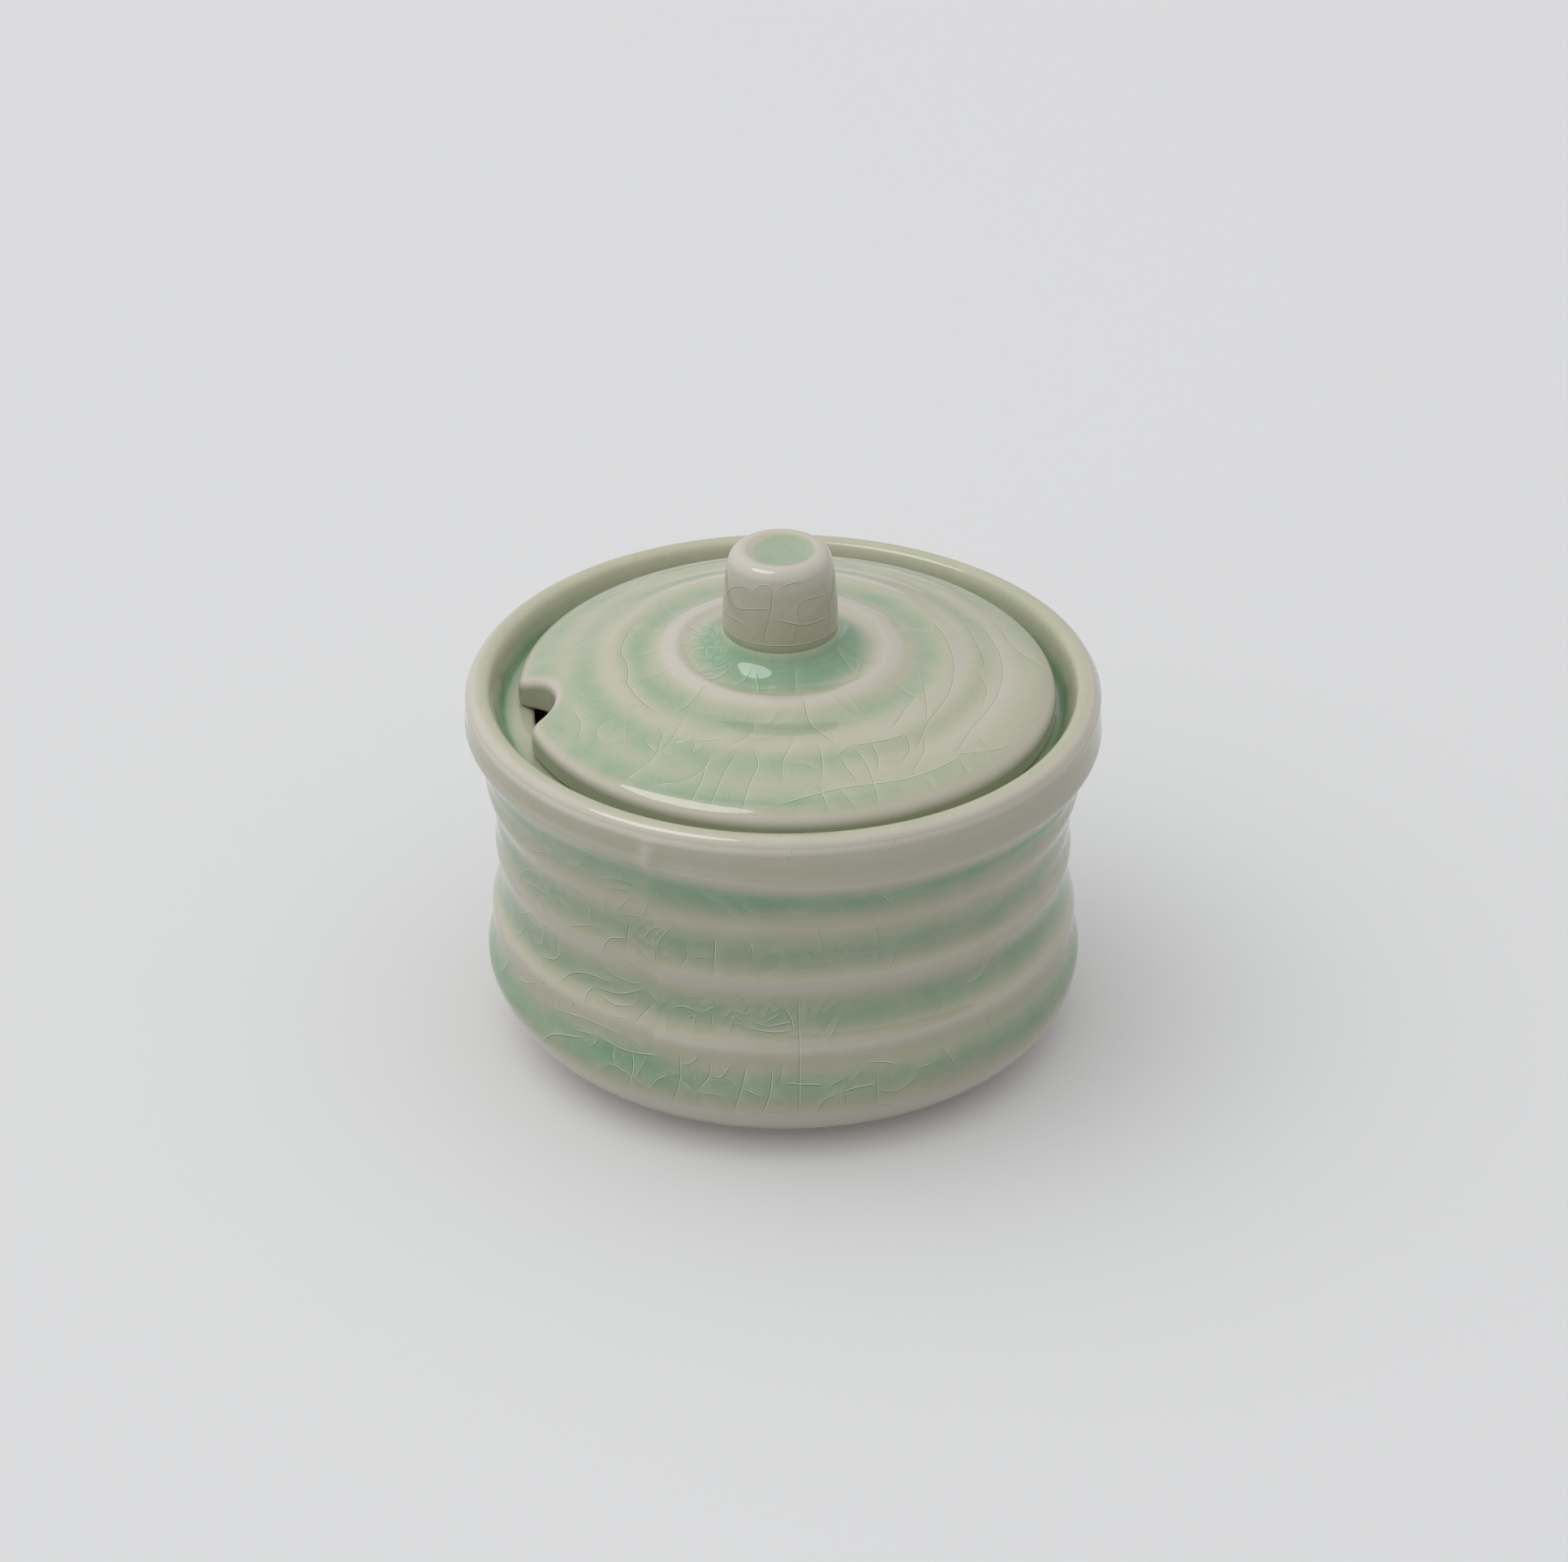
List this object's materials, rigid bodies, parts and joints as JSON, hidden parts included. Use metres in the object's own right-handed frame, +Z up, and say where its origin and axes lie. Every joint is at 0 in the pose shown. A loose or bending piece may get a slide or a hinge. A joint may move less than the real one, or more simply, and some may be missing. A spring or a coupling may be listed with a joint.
{
  "type": "lidded condiment pot",
  "caption": "Small round crackle-glazed stoneware pot with a ringed wall, a gallery ledge and a domed lift-off lid that has a knob and a spoon notch.",
  "frame": {"origin": "middle of the foot ring, on the surface that the pot stands on", "axes": "+Z up along the pot's axis, -X towards the spoon notch in the lid, -Y towards the viewer"},
  "size_m": [0.0898, 0.0898, 0.0747],
  "materials": {
    "pot_glaze": "glossy crackled celadon, jade green where it pools and pinkish grey on the ridges",
    "lid_glaze": "glossy crackled celadon, pale green and beige rings",
    "knob_glaze": "glossy crackled celadon, beige side and a green pool in the top"
  },
  "bodies": {
    "pot": {"pot": "pot_glaze"},
    "lid": {"lid_disc": "lid_glaze", "knob": "knob_glaze"}
  },
  "joints": [
    {"name": "lid_lift", "type": "slide", "parent": "pot", "child": "lid", "axis": [0, 0, 1], "range_m": [0, 0.08]}
  ]
}
